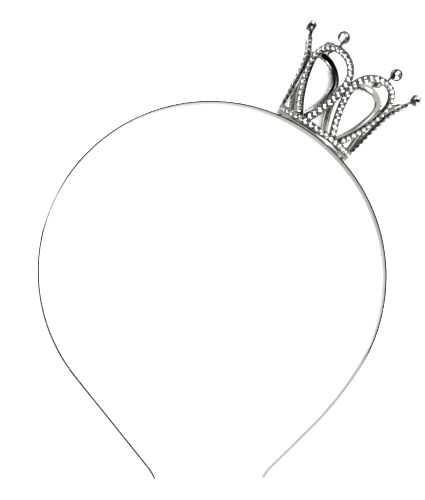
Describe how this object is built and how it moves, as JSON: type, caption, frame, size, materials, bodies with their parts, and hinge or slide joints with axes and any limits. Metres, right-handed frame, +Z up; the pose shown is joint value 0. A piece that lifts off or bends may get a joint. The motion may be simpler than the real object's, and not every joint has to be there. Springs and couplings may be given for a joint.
{
  "type": "crown headband",
  "caption": "Narrow metal headband bent in a horseshoe, with a small open crown of stone-set loops soldered on one side and a round clear stone on each loop.",
  "frame": {"origin": "on the table under the middle of the object's box, with the object lying on its side", "axes": "+Z is up from the table, +Y runs towards the top of the head, +X towards the side that carries the crown"},
  "size_m": [0.1466, 0.1752, 0.0456],
  "materials": {
    "strip_metal": "polished silver-coloured plating",
    "crown_metal": "polished silver-coloured plating",
    "clear_stone": "clear, cut"
  },
  "bodies": {
    "root": {"headband_strip": "strip_metal", "crown_frame": "crown_metal", "finial_stone_1": "clear_stone", "finial_stone_2": "clear_stone", "finial_stone_3": "clear_stone", "finial_stone_4": "clear_stone", "finial_stone_5": "clear_stone", "finial_stone_6": "clear_stone"}
  },
  "joints": []
}
